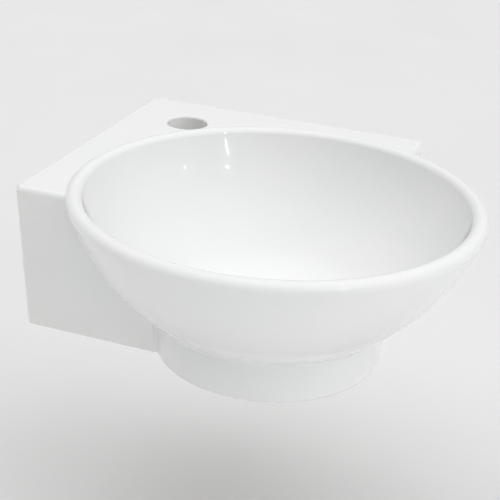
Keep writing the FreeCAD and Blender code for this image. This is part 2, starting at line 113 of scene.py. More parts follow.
def corner_normals(points, tris, least_cos):
    """A normal for each corner of each triangle: the mean of the normals of the
    triangles round that point which face nearly the same way, weighted by the
    square of their areas so that flat faces stay flat up to their edges."""
    normals, areas = face_normals(points, tris)
    corner_face = np.repeat(np.arange(len(tris)), 3)
    corner_point = tris.ravel()
    order = np.argsort(corner_point, kind="stable")
    counts = np.bincount(corner_point, minlength=len(points))
    starts = np.concatenate([[0], np.cumsum(counts)[:-1]])
    mates = counts[corner_point]
    mine = np.repeat(np.arange(len(corner_point)), mates)
    step = np.arange(len(mine)) - np.repeat(np.cumsum(mates) - mates, mates)
    other = corner_face[order[starts[corner_point[mine]] + step]]
    alike = np.einsum("ij,ij->i", normals[corner_face[mine]], normals[other]) > least_cos
    weight = np.where(alike, areas[other] ** 2, 0.0)
    total = np.stack([np.bincount(mine, weight * normals[other, k], len(corner_point))
                      for k in range(3)], axis=1)
    return total / np.maximum(np.linalg.norm(total, axis=1), 1e-20)[:, None]


def outward(points, tris):
    """Turns the triangles round if they enclose a negative volume, which is the
    sum of the triple products of their corners."""
    a, b, c = points[tris[:, 0]], points[tris[:, 1]], points[tris[:, 2]]
    if np.einsum("ij,ij->i", a, np.cross(b, c)).sum() < 0.0:
        return tris[:, ::-1]
    return tris


# Corners 0 to 2 and edge middles 3 to 5 that each part of a triangle runs
# through, by how many of its edges are split.
PARTS = {0: ((0, 1, 2),), 1: ((0, 3, 2), (3, 1, 2)),
         2: ((0, 3, 2), (3, 4, 2), (3, 1, 4)),
         3: ((0, 3, 5), (3, 1, 4), (5, 4, 2), (3, 4, 5))}


def finer(points, tris, normals, most_turn):
    """Splits each edge along which the normal turns by more than most_turn. The
    new point leaves the chord by half the mean of its offsets from the planes
    that touch the surface at the edge's ends, which puts it on the arc."""
    count = len(tris)
    normals = normals.reshape(count, 3, 3)
    ends = tris[:, [[0, 1], [1, 2], [2, 0]]]
    a, b = points[ends[..., 0]], points[ends[..., 1]]
    na, nb = normals, normals[:, [1, 2, 0]]
    middle = 0.5 * (a + b)
    lift_a = np.einsum("fek,fek->fe", middle - a, na)[..., None] * na
    lift_b = np.einsum("fek,fek->fe", middle - b, nb)[..., None] * nb
    middle = middle - 0.25 * (lift_a + lift_b)
    pair = np.sort(ends, axis=2)
    _, edge = np.unique((pair[..., 0] * len(points) + pair[..., 1]).ravel(), return_inverse=True)
    edge = edge.ravel()
    times = np.bincount(edge)
    turns = (np.einsum("fek,fek->fe", na, nb) < math.cos(most_turn)).ravel()
    is_split = np.bincount(edge, turns) > 0
    place = np.stack([np.bincount(edge, middle[..., k].ravel()) for k in range(3)], axis=1)
    number = len(points) + np.cumsum(is_split) - 1
    points = np.concatenate([points, (place / times[:, None])[is_split]])
    slots = np.concatenate([tris, number[edge].reshape(count, 3)], axis=1)
    between = na + nb
    between /= np.linalg.norm(between, axis=2)[..., None]
    slot_normals = np.concatenate([normals, between], axis=1)
    split = is_split[edge].reshape(count, 3)
    splits = split.sum(axis=1)
    first = np.where(splits == 1, np.argmax(split, axis=1),
                     np.where(splits == 2, (np.argmin(split, axis=1) + 1) % 3, 0))
    turned_to = (np.arange(3)[None, :] + first[:, None]) % 3
    order = np.concatenate([turned_to, 3 + turned_to], axis=1)
    slots = np.take_along_axis(slots, order, axis=1)
    slot_normals = np.take_along_axis(slot_normals, order[..., None], axis=1)
    new_tris, new_normals = [], []
    for how_many, parts in PARTS.items():
        for part in parts:
            new_tris.append(slots[splits == how_many][:, part])
            new_normals.append(slot_normals[splits == how_many][:, part])
    return points, np.concatenate(new_tris), np.concatenate(new_normals).reshape(-1, 3)


def piece(name, points, tris, body, material, replaced, normals=None):
    """A smooth-shaded mesh object that rides on a body and stands for a node."""
    if normals is None:
        tris = outward(points, tris)
        normals = corner_normals(points, tris, SMOOTH_COS)
    mesh = bpy.data.meshes.new(name)
    mesh.from_pydata(points.tolist(), [], tris.tolist())
    mesh.polygons.foreach_set("use_smooth", np.ones(len(tris), bool))
    mesh.normals_split_custom_set(normals.tolist())
    mesh.materials.append(material)
    mesh.update()
    obj = bpy.data.objects.new(name, mesh)
    bpy.context.scene.collection.objects.link(obj)
    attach(obj, body)
    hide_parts(replaced)
    return obj


# --- node tools for the materials ----------------------------------------------

def group_tree(name, inputs, outputs):
    """A shader node group with named sockets. Returns the tree and its two ends."""
    tree = bpy.data.node_groups.new(name, "ShaderNodeTree")
    for label, kind, value in inputs:
        socket = tree.interface.new_socket(label, in_out="INPUT", socket_type=kind)
        if value is not None:
            socket.default_value = value
    for label, kind in outputs:
        tree.interface.new_socket(label, in_out="OUTPUT", socket_type=kind)
    return tree, tree.nodes.new("NodeGroupInput"), tree.nodes.new("NodeGroupOutput")


def add(tree, kind, links=None, **values):
    """A node with its inputs linked or set by name; underscores stand for spaces."""
    node = tree.nodes.new(kind)
    for name, value in values.items():
        setattr(node, name, value)
    for name, value in (links or {}).items():
        socket = node.inputs[name]
        if isinstance(value, bpy.types.NodeSocket):
            tree.links.new(value, socket)
        else:
            socket.default_value = value
    return node


def math_node(tree, operation, *values):
    """The result of a sum on sockets or numbers."""
    return add(tree, "ShaderNodeMath", dict(enumerate(values)), operation=operation).outputs[0]


def mixed(tree, factor, a, b):
    """Colour a where the factor is 0 and b where it is 1."""
    node = add(tree, "ShaderNodeMix", data_type="RGBA")
    for index, value in ((0, factor), (6, a), (7, b)):
        if isinstance(value, bpy.types.NodeSocket):
            tree.links.new(value, node.inputs[index])
        else:
            node.inputs[index].default_value = value
    return node.outputs[2]


def build_soft_patches():
    """Soft patches: noise of a named size, stretched so that it runs from 0 to 1
    between two of its levels."""
    tree, start, end = group_tree(
        "soft_patches",
        [("Vector", "NodeSocketVector", None), ("Scale", "NodeSocketFloat", 20.0),
         ("Low", "NodeSocketFloat", 0.35), ("High", "NodeSocketFloat", 0.65)],
        [("Mask", "NodeSocketFloat")])
    noise = add(tree, "ShaderNodeTexNoise", {"Vector": start.outputs["Vector"],
                                             "Scale": start.outputs["Scale"],
                                             "Detail": 4.0, "Roughness": 0.55})
    spread = add(tree, "ShaderNodeMapRange", {"Value": noise.outputs["Fac"],
                                              "From Min": start.outputs["Low"],
                                              "From Max": start.outputs["High"]})
    tree.links.new(spread.outputs["Result"], end.inputs["Mask"])
    return tree


def build_rough_skin():
    """A rough skin: coarse and fine noise added up to a height, and the normal
    that the height gives at a depth in metres."""
    tree, start, end = group_tree(
        "rough_skin",
        [("Vector", "NodeSocketVector", None), ("Coarse", "NodeSocketFloat", 100.0),
         ("Fine", "NodeSocketFloat", 900.0), ("Fine Share", "NodeSocketFloat", 0.3),
         ("Strength", "NodeSocketFloat", 0.2), ("Depth", "NodeSocketFloat", 0.0002)],
        [("Normal", "NodeSocketVector"), ("Height", "NodeSocketFloat")])
    coarse = add(tree, "ShaderNodeTexNoise", {"Vector": start.outputs["Vector"],
                                              "Scale": start.outputs["Coarse"],
                                              "Detail": 2.0})
    fine = add(tree, "ShaderNodeTexNoise", {"Vector": start.outputs["Vector"],
                                            "Scale": start.outputs["Fine"], "Detail": 2.0})
    share = math_node(tree, "MULTIPLY", fine.outputs["Fac"], start.outputs["Fine Share"])
    height = math_node(tree, "ADD", coarse.outputs["Fac"], share)
    bump = add(tree, "ShaderNodeBump", {"Height": height,
                                        "Strength": start.outputs["Strength"],
                                        "Distance": start.outputs["Depth"]})
    tree.links.new(bump.outputs["Normal"], end.inputs["Normal"])
    tree.links.new(height, end.inputs["Height"])
    return tree


def build_lathe_marks():
    """Rings left by turning: a sine of the distance from the upright axis plus
    the height, shifted by noise. The axis is the Z of the vector that comes in."""
    tree, start, end = group_tree(
        "lathe_marks",
        [("Vector", "NodeSocketVector", None), ("Rings", "NodeSocketFloat", 9000.0)],
        [("Height", "NodeSocketFloat")])
    split = add(tree, "ShaderNodeSeparateXYZ", {"Vector": start.outputs["Vector"]})
    x, y, z = (split.outputs[k] for k in range(3))
    radius = math_node(tree, "SQRT", math_node(
        tree, "ADD", math_node(tree, "MULTIPLY", x, x), math_node(tree, "MULTIPLY", y, y)))
    run = math_node(tree, "ADD", radius, z)
    drift = add(tree, "ShaderNodeTexNoise", {"Vector": start.outputs["Vector"], "Scale": 60.0})
    turns = math_node(tree, "ADD", math_node(tree, "MULTIPLY", run, start.outputs["Rings"]),
                      math_node(tree, "MULTIPLY", drift.outputs["Fac"], 9.0))
    wave = math_node(tree, "SINE", turns)
    tree.links.new(math_node(tree, "MULTIPLY_ADD", wave, 0.5, 0.5), end.inputs["Height"])
    return tree


SOFT_PATCHES = build_soft_patches()
ROUGH_SKIN = build_rough_skin()
LATHE_MARKS = build_lathe_marks()


def grey(level):
    return (level, level, level, 1)


def seen_directly(tree):
    """1 for rays that come from the camera, from a reflection or through glass,
    and 0 for those that only gather soft light."""
    rays = tree.nodes.new("ShaderNodeLightPath").outputs
    seen = math_node(tree, "MAXIMUM", rays["Is Camera Ray"], rays["Is Glossy Ray"])
    return math_node(tree, "MAXIMUM", seen, rays["Is Transmission Ray"])


def new_material(name):
    """A node material with a Principled shader. Returns it, its tree, the shader
    and the object coordinates."""
    material = bpy.data.materials.new(name)
    material.use_nodes = True
    tree = material.node_tree
    tree.nodes.clear()
    shader = tree.nodes.new("ShaderNodeBsdfPrincipled")
    out = tree.nodes.new("ShaderNodeOutputMaterial")
    tree.links.new(shader.outputs["BSDF"], out.inputs["Surface"])
    where = tree.nodes.new("ShaderNodeTexCoord").outputs["Object"]
    return material, tree, shader, where


def patches(tree, where, scale, low, high):
    """The mask of the soft patches: scale in patches per metre, then the noise
    levels at which it starts and is full."""
    return add(tree, "ShaderNodeGroup", {"Vector": where, "Scale": scale, "Low": low,
                                         "High": high}, node_tree=SOFT_PATCHES).outputs["Mask"]


def skin(tree, where, coarse, fine, share, strength, depth):
    """The rough skin with its settings; its outputs are a normal and a height."""
    return add(tree, "ShaderNodeGroup",
               {"Vector": where, "Coarse": coarse, "Fine": fine, "Fine Share": share,
                "Strength": strength, "Depth": depth}, node_tree=ROUGH_SKIN)


def ranged(tree, factor, low, high):
    """A factor from 0 to 1 carried to the range from low to high."""
    return add(tree, "ShaderNodeMapRange", {"Value": factor, "To Min": low,
                                            "To Max": high}).outputs["Result"]


# --- the finishes ------------------------------------------------------------

def china_finish():
    """Vitreous china: a cool white glaze that drifts in tone, ripples faintly and
    is warmer where the 'thin' attribute is high, with a few pits; bare biscuit
    where the 'bare' attribute is high, with a ragged border of glaze over it."""
    material, tree, shader, where = new_material("vitreous_china")
    drift = patches(tree, where, 9.0, 0.3, 0.7)
    glaze = mixed(tree, drift, (0.845, 0.858, 0.862, 1), (0.872, 0.876, 0.868, 1))
    thin = add(tree, "ShaderNodeAttribute", attribute_name="thin").outputs["Fac"]
    thin = math_node(tree, "MULTIPLY", thin, ranged(tree, patches(tree, where, 160.0, 0.3, 0.7),
                                                    0.4, 1.0))
    glaze = mixed(tree, thin, glaze, (0.80, 0.785, 0.755, 1))
    pits = math_node(tree, "MULTIPLY", patches(tree, where, 900.0, 0.70, 0.74),
                     patches(tree, where, 60.0, 0.52, 0.60))
    glaze = mixed(tree, math_node(tree, "MULTIPLY", pits, 0.35), glaze, (0.52, 0.50, 0.46, 1))

    bare = add(tree, "ShaderNodeAttribute", attribute_name="bare").outputs["Fac"]
    runs = ranged(tree, patches(tree, where, 34.0, 0.25, 0.75), -0.26, 0.26)
    spray = ranged(tree, patches(tree, where, 650.0, 0.2, 0.8), -0.20, 0.20)
    ragged = math_node(tree, "ADD", bare, math_node(tree, "ADD", runs, spray))
    bare = add(tree, "ShaderNodeMapRange", {"Value": ragged, "From Min": 0.40,
                                            "From Max": 0.60}).outputs["Result"]
    biscuit = mixed(tree, patches(tree, where, 26.0, 0.3, 0.7), (0.70, 0.66, 0.59, 1),
                    (0.77, 0.74, 0.68, 1))
    grime = math_node(tree, "MULTIPLY", patches(tree, where, 90.0, 0.5, 0.8), 0.45)
    biscuit = mixed(tree, grime, biscuit, (0.55, 0.51, 0.45, 1))
    specks = math_node(tree, "MULTIPLY", patches(tree, where, 1500.0, 0.66, 0.72), 0.6)
    biscuit = mixed(tree, specks, biscuit, (0.36, 0.33, 0.29, 1))
    tree.links.new(mixed(tree, bare, glaze, biscuit), shader.inputs["Base Color"])

    tree.links.new(ranged(tree, bare, 0.16, 0.82), shader.inputs["Roughness"])
    tree.links.new(ranged(tree, bare, 0.85, 0.0), shader.inputs["Coat Weight"])
    shader.inputs["Coat Roughness"].default_value = 0.03
    shader.inputs["IOR"].default_value = 1.5
    ripple = skin(tree, where, 22.0, 140.0, 0.10, 0.10, 0.0006).outputs["Height"]
    grit = skin(tree, where, 700.0, 2400.0, 0.5, 0.5, 0.0001).outputs["Height"]
    first = add(tree, "ShaderNodeBump", {"Height": ripple, "Strength": 0.10,
                                         "Distance": 0.0008})
    rough = math_node(tree, "MULTIPLY", grit, bare)
    second = add(tree, "ShaderNodeBump", {"Height": rough, "Strength": 0.55,
                                          "Distance": 0.00012,
                                          "Normal": first.outputs["Normal"]})
    tree.links.new(second.outputs["Normal"], shader.inputs["Normal"])
    return material


def metal_finish(name, bright, dull, rough_low, rough_high, patch_scale, rings=0.0):
    """A metal whose tone and roughness drift between two levels in patches, with
    lathe marks round the waste's axis where rings are asked for."""
    material, tree, shader, where = new_material(name)
    tone = patches(tree, where, patch_scale, 0.35, 0.65)
    fine = patches(tree, where, patch_scale * 9.0, 0.45, 0.75)
    worn = math_node(tree, "MAXIMUM", tone, math_node(tree, "MULTIPLY", fine, 0.6))
    tree.links.new(mixed(tree, tone, bright, dull), shader.inputs["Base Color"])
    tree.links.new(ranged(tree, worn, rough_low, rough_high), shader.inputs["Roughness"])
    shader.inputs["Metallic"].default_value = 1.0
    surface = skin(tree, where, 500.0, 2600.0, 0.4, 0.15, 0.00004)
    height = math_node(tree, "MULTIPLY", surface.outputs["Height"], 0.5)
    if rings:
        placed = add(tree, "ShaderNodeMapping", {"Vector": where,
                                                 "Location": (-AXIS_X, AXIS_X, 0.0)})
        marks = add(tree, "ShaderNodeGroup", {"Vector": placed.outputs["Vector"],
                                              "Rings": rings}, node_tree=LATHE_MARKS)
        height = math_node(tree, "ADD", height, marks.outputs["Height"])
    bump = add(tree, "ShaderNodeBump", {"Height": height, "Strength": 0.12,
                                        "Distance": 0.00003})
    tree.links.new(bump.outputs["Normal"], shader.inputs["Normal"])
    return material


def moulded_finish(name, tint, shade, rough_low, rough_high, grain, depth, dust,
                   subsurface=0.0):
    """Rubber or plastic: tone drifting between two colours, a moulded grain, and
    dust in patches that also dulls it."""
    material, tree, shader, where = new_material(name)
    tone = patches(tree, where, 60.0, 0.35, 0.65)
    dusty = math_node(tree, "MULTIPLY", patches(tree, where, 150.0, 0.5, 0.8), dust)
    colour = mixed(tree, dusty, mixed(tree, tone, tint, shade), (0.55, 0.53, 0.49, 1))
    tree.links.new(colour, shader.inputs["Base Color"])
    tree.links.new(ranged(tree, math_node(tree, "MAXIMUM", tone, dusty), rough_low, rough_high),
                   shader.inputs["Roughness"])
    shader.inputs["Subsurface Weight"].default_value = subsurface
    shader.inputs["Subsurface Radius"].default_value = (0.002, 0.002, 0.0015)
    surface = skin(tree, where, grain, grain * 5.0, 0.4, 0.3, depth)
    tree.links.new(surface.outputs["Normal"], shader.inputs["Normal"])
    return material


CHINA = china_finish()
CHROME = metal_finish("bright_chrome", (0.79, 0.80, 0.82, 1), (0.74, 0.75, 0.76, 1),
                      0.05, 0.13, 40.0, rings=14000.0)
ZINC = metal_finish("zinc_plate", (0.66, 0.66, 0.64, 1), (0.52, 0.52, 0.47, 1),
                    0.26, 0.48, 90.0)
BRASS = metal_finish("turned_brass", (0.78, 0.60, 0.30, 1), (0.62, 0.45, 0.22, 1),
                     0.18, 0.42, 55.0, rings=11000.0)
STEEL = metal_finish("bright_steel", (0.62, 0.62, 0.62, 1), (0.50, 0.50, 0.51, 1),
                     0.16, 0.34, 80.0, rings=15000.0)
SPRING_STEEL = metal_finish("spring_steel", (0.44, 0.44, 0.46, 1), (0.30, 0.30, 0.32, 1),
                            0.22, 0.42, 120.0)
NYLON = moulded_finish("natural_nylon", (0.80, 0.79, 0.73, 1), (0.72, 0.70, 0.62, 1),
                       0.38, 0.60, 260.0, 0.00008, 0.25, subsurface=0.12)
WHITE_RUBBER = moulded_finish("white_rubber", (0.74, 0.73, 0.70, 1), (0.66, 0.65, 0.61, 1),
                              0.50, 0.72, 420.0, 0.00006, 0.30)
BLACK_RUBBER = moulded_finish("black_rubber", (0.022, 0.022, 0.023, 1), (0.040, 0.040, 0.040, 1),
                              0.42, 0.75, 380.0, 0.00008, 0.22)
WHITE_PLASTIC = moulded_finish("white_plastic", (0.82, 0.82, 0.80, 1), (0.76, 0.76, 0.73, 1),
                               0.30, 0.50, 300.0, 0.00005, 0.20, subsurface=0.05)

NODE_FINISH = {
    "basin_body": CHINA, "hanger_bolts": ZINC, "bolt_bushes": NYLON,
    "bolt_washers": ZINC, "bolt_nuts": ZINC, "waste_body": CHROME,
    "flange_gasket": WHITE_RUBBER, "cone_gasket": BLACK_RUBBER,
    "slip_washer": WHITE_PLASTIC, "back_nut": BRASS, "cartridge_barrel": BRASS,
    "cartridge_end_plug": WHITE_PLASTIC, "cartridge_plunger": STEEL,
    "cartridge_latch_ring": WHITE_PLASTIC, "cartridge_spring": SPRING_STEEL,
    "plug_cap": CHROME, "plug_seal": BLACK_RUBBER,
}

for node_name, finish in NODE_FINISH.items():
    for material_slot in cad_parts[node_name].material_slots:
        material_slot.material = finish


# --- the china ---------------------------------------------------------------

def ramp(value, low, high):
    """0 below low, 1 above high and a straight line between."""
    return np.clip((value - low) / (high - low), 0.0, 1.0)


def bowl_centres():
    """Centres, in radius and height, of the lip, of the bowl's side, which
    touches the lip from outside and passes through the foot, and of the blend,
    which touches the side's inner face at the foot."""
    lip_r = 0.5 * BOWL_WALL
    lip = np.array([BOWL_R - lip_r, RIM_H - lip_r])
    foot = np.array([FOOT_R, FOOT_Z])
    gap = np.linalg.norm(foot - lip)
    step = (foot - lip) / gap
    along = ((SIDE_R - lip_r) ** 2 - SIDE_R ** 2 + gap ** 2) / (2.0 * gap)
    across = math.sqrt((SIDE_R - lip_r) ** 2 - along ** 2)
    side = lip + along * step + across * np.array([step[1], -step[0]])
    down = (foot - side) / np.linalg.norm(foot - side)
    return lip, side, side + (SIDE_R - BOWL_WALL - BLEND_R) * down


LIP, SIDE, BLEND = bowl_centres()


def turned_normals(points, normals):
    """Sets the normals of points on the turned faces to the true ones. On a
    circle of the section the normal runs through its centre; on the floor and
    the skirt it is square to the line of the section."""
    out = np.stack([points[:, 0] - AXIS_X, points[:, 1] + AXIS_X], axis=1)
    radius = np.linalg.norm(out, axis=1)
    out /= np.maximum(radius, 1e-9)[:, None]
    place = np.stack([radius, points[:, 2]], axis=1)
    found = []
    for centre, size, sign in ((LIP, 0.5 * BOWL_WALL, 1.0), (SIDE, SIDE_R, 1.0),
                               (SIDE, SIDE_R - BOWL_WALL, -1.0), (BLEND, BLEND_R, -1.0),
                               (BLEND, BLEND_R + BOWL_WALL, 1.0)):
        away = place - centre
        length = np.linalg.norm(away, axis=1)
        found.append((np.abs(length - size), sign * away / length[:, None]))
    floor_end = BLEND + BLEND_R * np.array([math.sin(FLOOR_SLOPE), -math.cos(FLOOR_SLOPE)])
    skirt_top, skirt_low = np.array([SKIRT_TOP_R, FOOT_Z]), np.array([SKIRT_BOTTOM_R, SKIRT_LOW])
    skirt_run = (skirt_top - skirt_low) / np.linalg.norm(skirt_top - skirt_low)
    for start, square in ((floor_end, np.array([-math.sin(FLOOR_SLOPE), math.cos(FLOOR_SLOPE)])),
                          (skirt_top, np.array([skirt_run[1], -skirt_run[0]]))):
        found.append((np.abs((place - start) @ square), np.broadcast_to(square, place.shape)))
    best = normals.copy()
    nearest = 0.00002                   # a point this close to a curve lies on it
    for off, flat in found:
        true = np.column_stack([flat[:, 0, None] * out, flat[:, 1]])
        fits = (off < nearest) & (np.einsum("ij,ij->i", true, normals) > 0.9)
        best[fits] = true[fits]
    return best


def bare_share(points, normals):
    """How bare of glaze each point is: 1 on the lower rims and on the wall faces,
    where it falls to 0 near the edges, and little in the hollow below."""
    x, y, z = points.T
    nx, ny, nz = normals.T
    from_wall = np.minimum(x, -y)
    along = np.maximum(x, -y)
    back = ((nx < -0.9) & (x < ON_FACE)) | ((ny > 0.9) & (y > -ON_FACE))
    reach = np.minimum(ramp(-z, 0.004, 0.016), ramp(z - BLOCK_LOW, -0.001, 0.004))
    reach = np.minimum(reach, ramp(WING_LEN - along, 0.004, 0.020))
    rim = (nz < -0.9) & ((np.abs(z - BLOCK_LOW) < ON_FACE) | (np.abs(z - SKIRT_LOW) < ON_FACE))
    tip = WING_LEN - PANEL_LEAN * z / BLOCK_LOW - WALL
    radius = np.hypot(x - AXIS_X, y + AXIS_X)
    from_side = np.hypot(radius - SIDE[0], z - SIDE[1])
    in_bowl = (radius < BOWL_R) & (nz > -0.05) & (from_side < SIDE_R - 0.5 * BOWL_WALL)
    in_wings = ((from_wall > WALL - IN_HOLLOW) & (along < tip + IN_HOLLOW) & ~in_bowl
                & (z < DECK_UNDER + IN_HOLLOW)
                & (x - y < WING_LEN + WING_DEPTH - 2.0 * WALL))
    in_skirt = (radius < SKIRT_INSIDE + IN_HOLLOW) & (z < SKIRT_CEILING)
    hollow = in_wings | in_skirt
    return np.select([back, rim, hollow], [reach, 1.0, HOLLOW_BARE], 0.0)


def thin_share(points, tris, normals):
    """How sharply the surface bends outwards at each point, as 0 to 1: the mean,
    over the short sides that meet there, of how far the normals open along a
    side for its length, between a bend of 90 and one of 420 per metre."""
    mean = np.stack([np.bincount(tris.ravel(), normals[:, k], len(points))
                     for k in range(3)], axis=1)
    mean /= np.maximum(np.linalg.norm(mean, axis=1), 1e-12)[:, None]
    sides = np.concatenate([tris[:, [0, 1]], tris[:, [1, 2]], tris[:, [2, 0]]])
    run = points[sides[:, 1]] - points[sides[:, 0]]
    length = np.linalg.norm(run, axis=1)
    bend = np.einsum("ij,ij->i", mean[sides[:, 1]] - mean[sides[:, 0]], run) / length ** 2
    short = length < 0.012              # longer sides lie on flat faces
    total = np.bincount(sides[short, 0], bend[short], len(points))
    count = np.maximum(np.bincount(sides[short, 0], minlength=len(points)), 1)
    return ramp(total / count, 90.0, 420.0)


def china_body():
    """The china as one closed skin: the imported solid's own points, with more
    between them where the surface is round."""
    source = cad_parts["basin_body"].data
    flat = np.empty(3 * len(source.vertices), np.float32)
    source.vertices.foreach_get("co", flat)
    index = np.empty(len(source.loops), np.int32)
    source.loops.foreach_get("vertex_index", index)
    points, tris = joined(flat.reshape(-1, 3).astype(float), index.reshape(-1, 3))
    tris = outward(points, tris)
    normals = turned_normals(points[tris.ravel()], corner_normals(points, tris, SMOOTH_COS))
    for _ in range(FINER_PASSES):
        points, tris, normals = finer(points, tris, normals, FINEST_TURN)
    corners = points[tris.ravel()]
    normals = turned_normals(corners, normals)
    obj = piece("china_body", points, tris, "basin", CHINA, "basin_body", normals)
    share = bare_share(corners, normals)
    bare = obj.data.attributes.new("bare", "FLOAT", "CORNER")
    bare.data.foreach_set("value", share.astype(np.float32))
    thin = np.maximum(thin_share(points, tris, normals)[tris.ravel()],
                      np.where(share > 0.0, HOLLOW_THIN, 0.0))
    kept = obj.data.attributes.new("thin", "FLOAT", "CORNER")
    kept.data.foreach_set("value", thin.astype(np.float32))


# --- turned and threaded pieces ------------------------------------------------

def ridge(phase, crest, flank):
    """Thread form over one turn: 1 on the crest, falling in a straight flank to 0
    at the root. Phase 0 is the middle of the crest."""
    off = np.abs((phase + 0.5) % 1.0 - 0.5)
    return 1.0 - np.clip((off - 0.5 * crest) / flank, 0.0, 1.0)


def about_waste(radius, height, angle):
    """Points at a radius, height and angle about the upright axis of the waste."""
    return np.stack([AXIS_X + radius * np.cos(angle), -AXIS_X + radius * np.sin(angle),
                     np.broadcast_to(height, radius.shape)], axis=-1)


def rounded(start, corner, end, radius, count):
    """Points of the arc that rounds a corner between two straight lines, found
    from the tangent lengths on both and the arc's centre on the bisector."""
    start, corner, end = (np.array(p, float) for p in (start, corner, end))
    u = (start - corner) / np.linalg.norm(start - corner)
    v = (end - corner) / np.linalg.norm(end - corner)
    half = 0.5 * math.acos(float(np.clip(u @ v, -1.0, 1.0)))
    centre = corner + (u + v) / np.linalg.norm(u + v) * radius / math.sin(half)
    a = corner + u * radius / math.tan(half) - centre
    b = corner + v * radius / math.tan(half) - centre
    t = np.linspace(0.0, 1.0, count)[:, None]
    arc = a * (1.0 - t) + b * t
    return centre + arc / np.linalg.norm(arc, axis=1)[:, None] * radius


def outline(corners, count=6):
    """Closed outline from (radius, height, rounding) corners, in order."""
    parts = []
    for k, (r, z, rounding) in enumerate(corners):
        before, after = corners[k - 1], corners[(k + 1) % len(corners)]
        if rounding > 0.0:
            parts.append(rounded(before[:2], (r, z), after[:2], rounding, count))
        else:
            parts.append(np.array([[r, z]]))
    return np.concatenate(parts)


def round_angles(steps):
    """Equal steps of a full turn, as one row."""
    return np.linspace(0.0, TAU, steps, endpoint=False)[None, :]


def carried_round(loop, angle):
    """An outline in radius and height carried once round the waste's axis."""
    return about_waste(np.repeat(loop[:, :1], angle.shape[1], axis=1), loop[:, 1:2], angle)


def capped(grid):
    """Closes a grid of rings with a pole in the middle of each end ring."""
    ends = grid.mean(axis=1, keepdims=True)
    steps = grid.shape[1]
    return np.concatenate([np.repeat(ends[:1], steps, axis=1), grid,
                           np.repeat(ends[-1:], steps, axis=1)])


SEAT_Z = -0.0979687                     # floor of the recess that takes the flange
LAND_Z = SEAT_Z - 0.012                 # underside of the china round the waste
FLANGE_LOW = SEAT_Z + 0.0015            # on its gasket
FLANGE_TOP = FLANGE_LOW + 0.0025
TUBE_LOW = SEAT_Z - 0.062               # bottom of the waste
SPIDER_TOP = SEAT_Z - 0.018             # cross arms
SPIDER_LOW = SPIDER_TOP - 0.007
CONE_T, WASHER_T, NUT_RIM, NUT_H = 0.006, 0.0015, 0.002, 0.011
NUT_LOW = LAND_Z - CONE_T - WASHER_T - NUT_RIM - NUT_H


def waste_tube():
    """Flange, cone, bore and tube as one loop of rows carried round the axis. On
    the tube the radius drops between the crests of a helix: the thread's phase
    is the height in pitches less the angle in turns. A plain relief parts the
    nut's thread from the outlet's."""
    pitch, deep = 0.002309, 0.00115
    tube_r, bore_r, groove_r = 0.02095, 0.0180, 0.02015
    throat_r, throat_depth, flange_r = 0.0225, 0.0035, 0.0315
    groove_top, groove_low = NUT_LOW - 0.001, NUT_LOW - 0.003
    head = outline([(bore_r, TUBE_LOW, 0.0), (bore_r, FLANGE_TOP - throat_depth, 0.001),
                    (throat_r, FLANGE_TOP, 0.0006), (flange_r, FLANGE_TOP, 0.001),
                    (flange_r, FLANGE_LOW, 0.0002), (tube_r - deep, FLANGE_LOW, 0.0)], 8)
    angle = round_angles(96)
    z = np.linspace(FLANGE_LOW - 0.0002, TUBE_LOW, 230)[:, None]
    form = ridge(z / pitch - angle / TAU, 0.16, 0.34)
    fade = ramp(z, TUBE_LOW, TUBE_LOW + 0.0012) * ramp(FLANGE_LOW - z, 0.0, 0.003)
    radius = tube_r - deep * (1.0 - form * fade)
    in_groove = (z < groove_top) & (z > groove_low)
    radius = np.where(in_groove, np.minimum(radius, groove_r), radius)
    grid = np.concatenate([carried_round(head, angle), about_waste(radius, z, angle)])
    return from_grid(grid, True)


def cross_arms():
    """The hub, a turned ring, and four arms: a rounded rectangle carried along a
    radius, wider where it meets the hub and the tube."""
    hub_bore, hub_r = 0.00555, 0.0080
    arm_start, arm_run = 0.0075, 0.0112
    half_wide, half_high, squareness = 0.00125, 0.0034, 0.35
    hub = outline([(hub_bore, SPIDER_TOP, 0.0003), (hub_bore, SPIDER_LOW, 0.0003),
                   (hub_r, SPIDER_LOW, 0.0008), (hub_r, SPIDER_TOP, 0.0008)])
    parts = [from_grid(carried_round(hub, round_angles(64)), True)]
    turn = round_angles(32)
    run = np.linspace(0.0, 1.0, 15)[:, None]
    flare = 1.0 + 0.35 * (2.0 * run - 1.0) ** 4
    cos, sin = np.cos(turn), np.sin(turn)
    radius, across, height = np.broadcast_arrays(
        arm_start + arm_run * run,
        half_wide * flare * np.sign(cos) * np.abs(cos) ** squareness,
        half_high * np.sign(sin) * np.abs(sin) ** squareness)
    middle = 0.5 * (SPIDER_TOP + SPIDER_LOW)
    for k in range(4):
        a = TAU * (0.125 + 0.25 * k)
        grid = np.stack([AXIS_X + radius * math.cos(a) - across * math.sin(a),
                         -AXIS_X + radius * math.sin(a) + across * math.cos(a),
                         middle + height], axis=-1)
        arm_points, arm_tris = from_grid(capped(grid), False)
        parts.append((arm_points, outward(arm_points - arm_points.mean(axis=0), arm_tris)))
    return stacked(parts)


def stacked(parts):
    """Several meshes as one list of points and one of triangles."""
    shift = np.cumsum([0] + [len(points) for points, _ in parts[:-1]])
    return (np.concatenate([points for points, _ in parts]),
            np.concatenate([tris + s for (_, tris), s in zip(parts, shift)]))


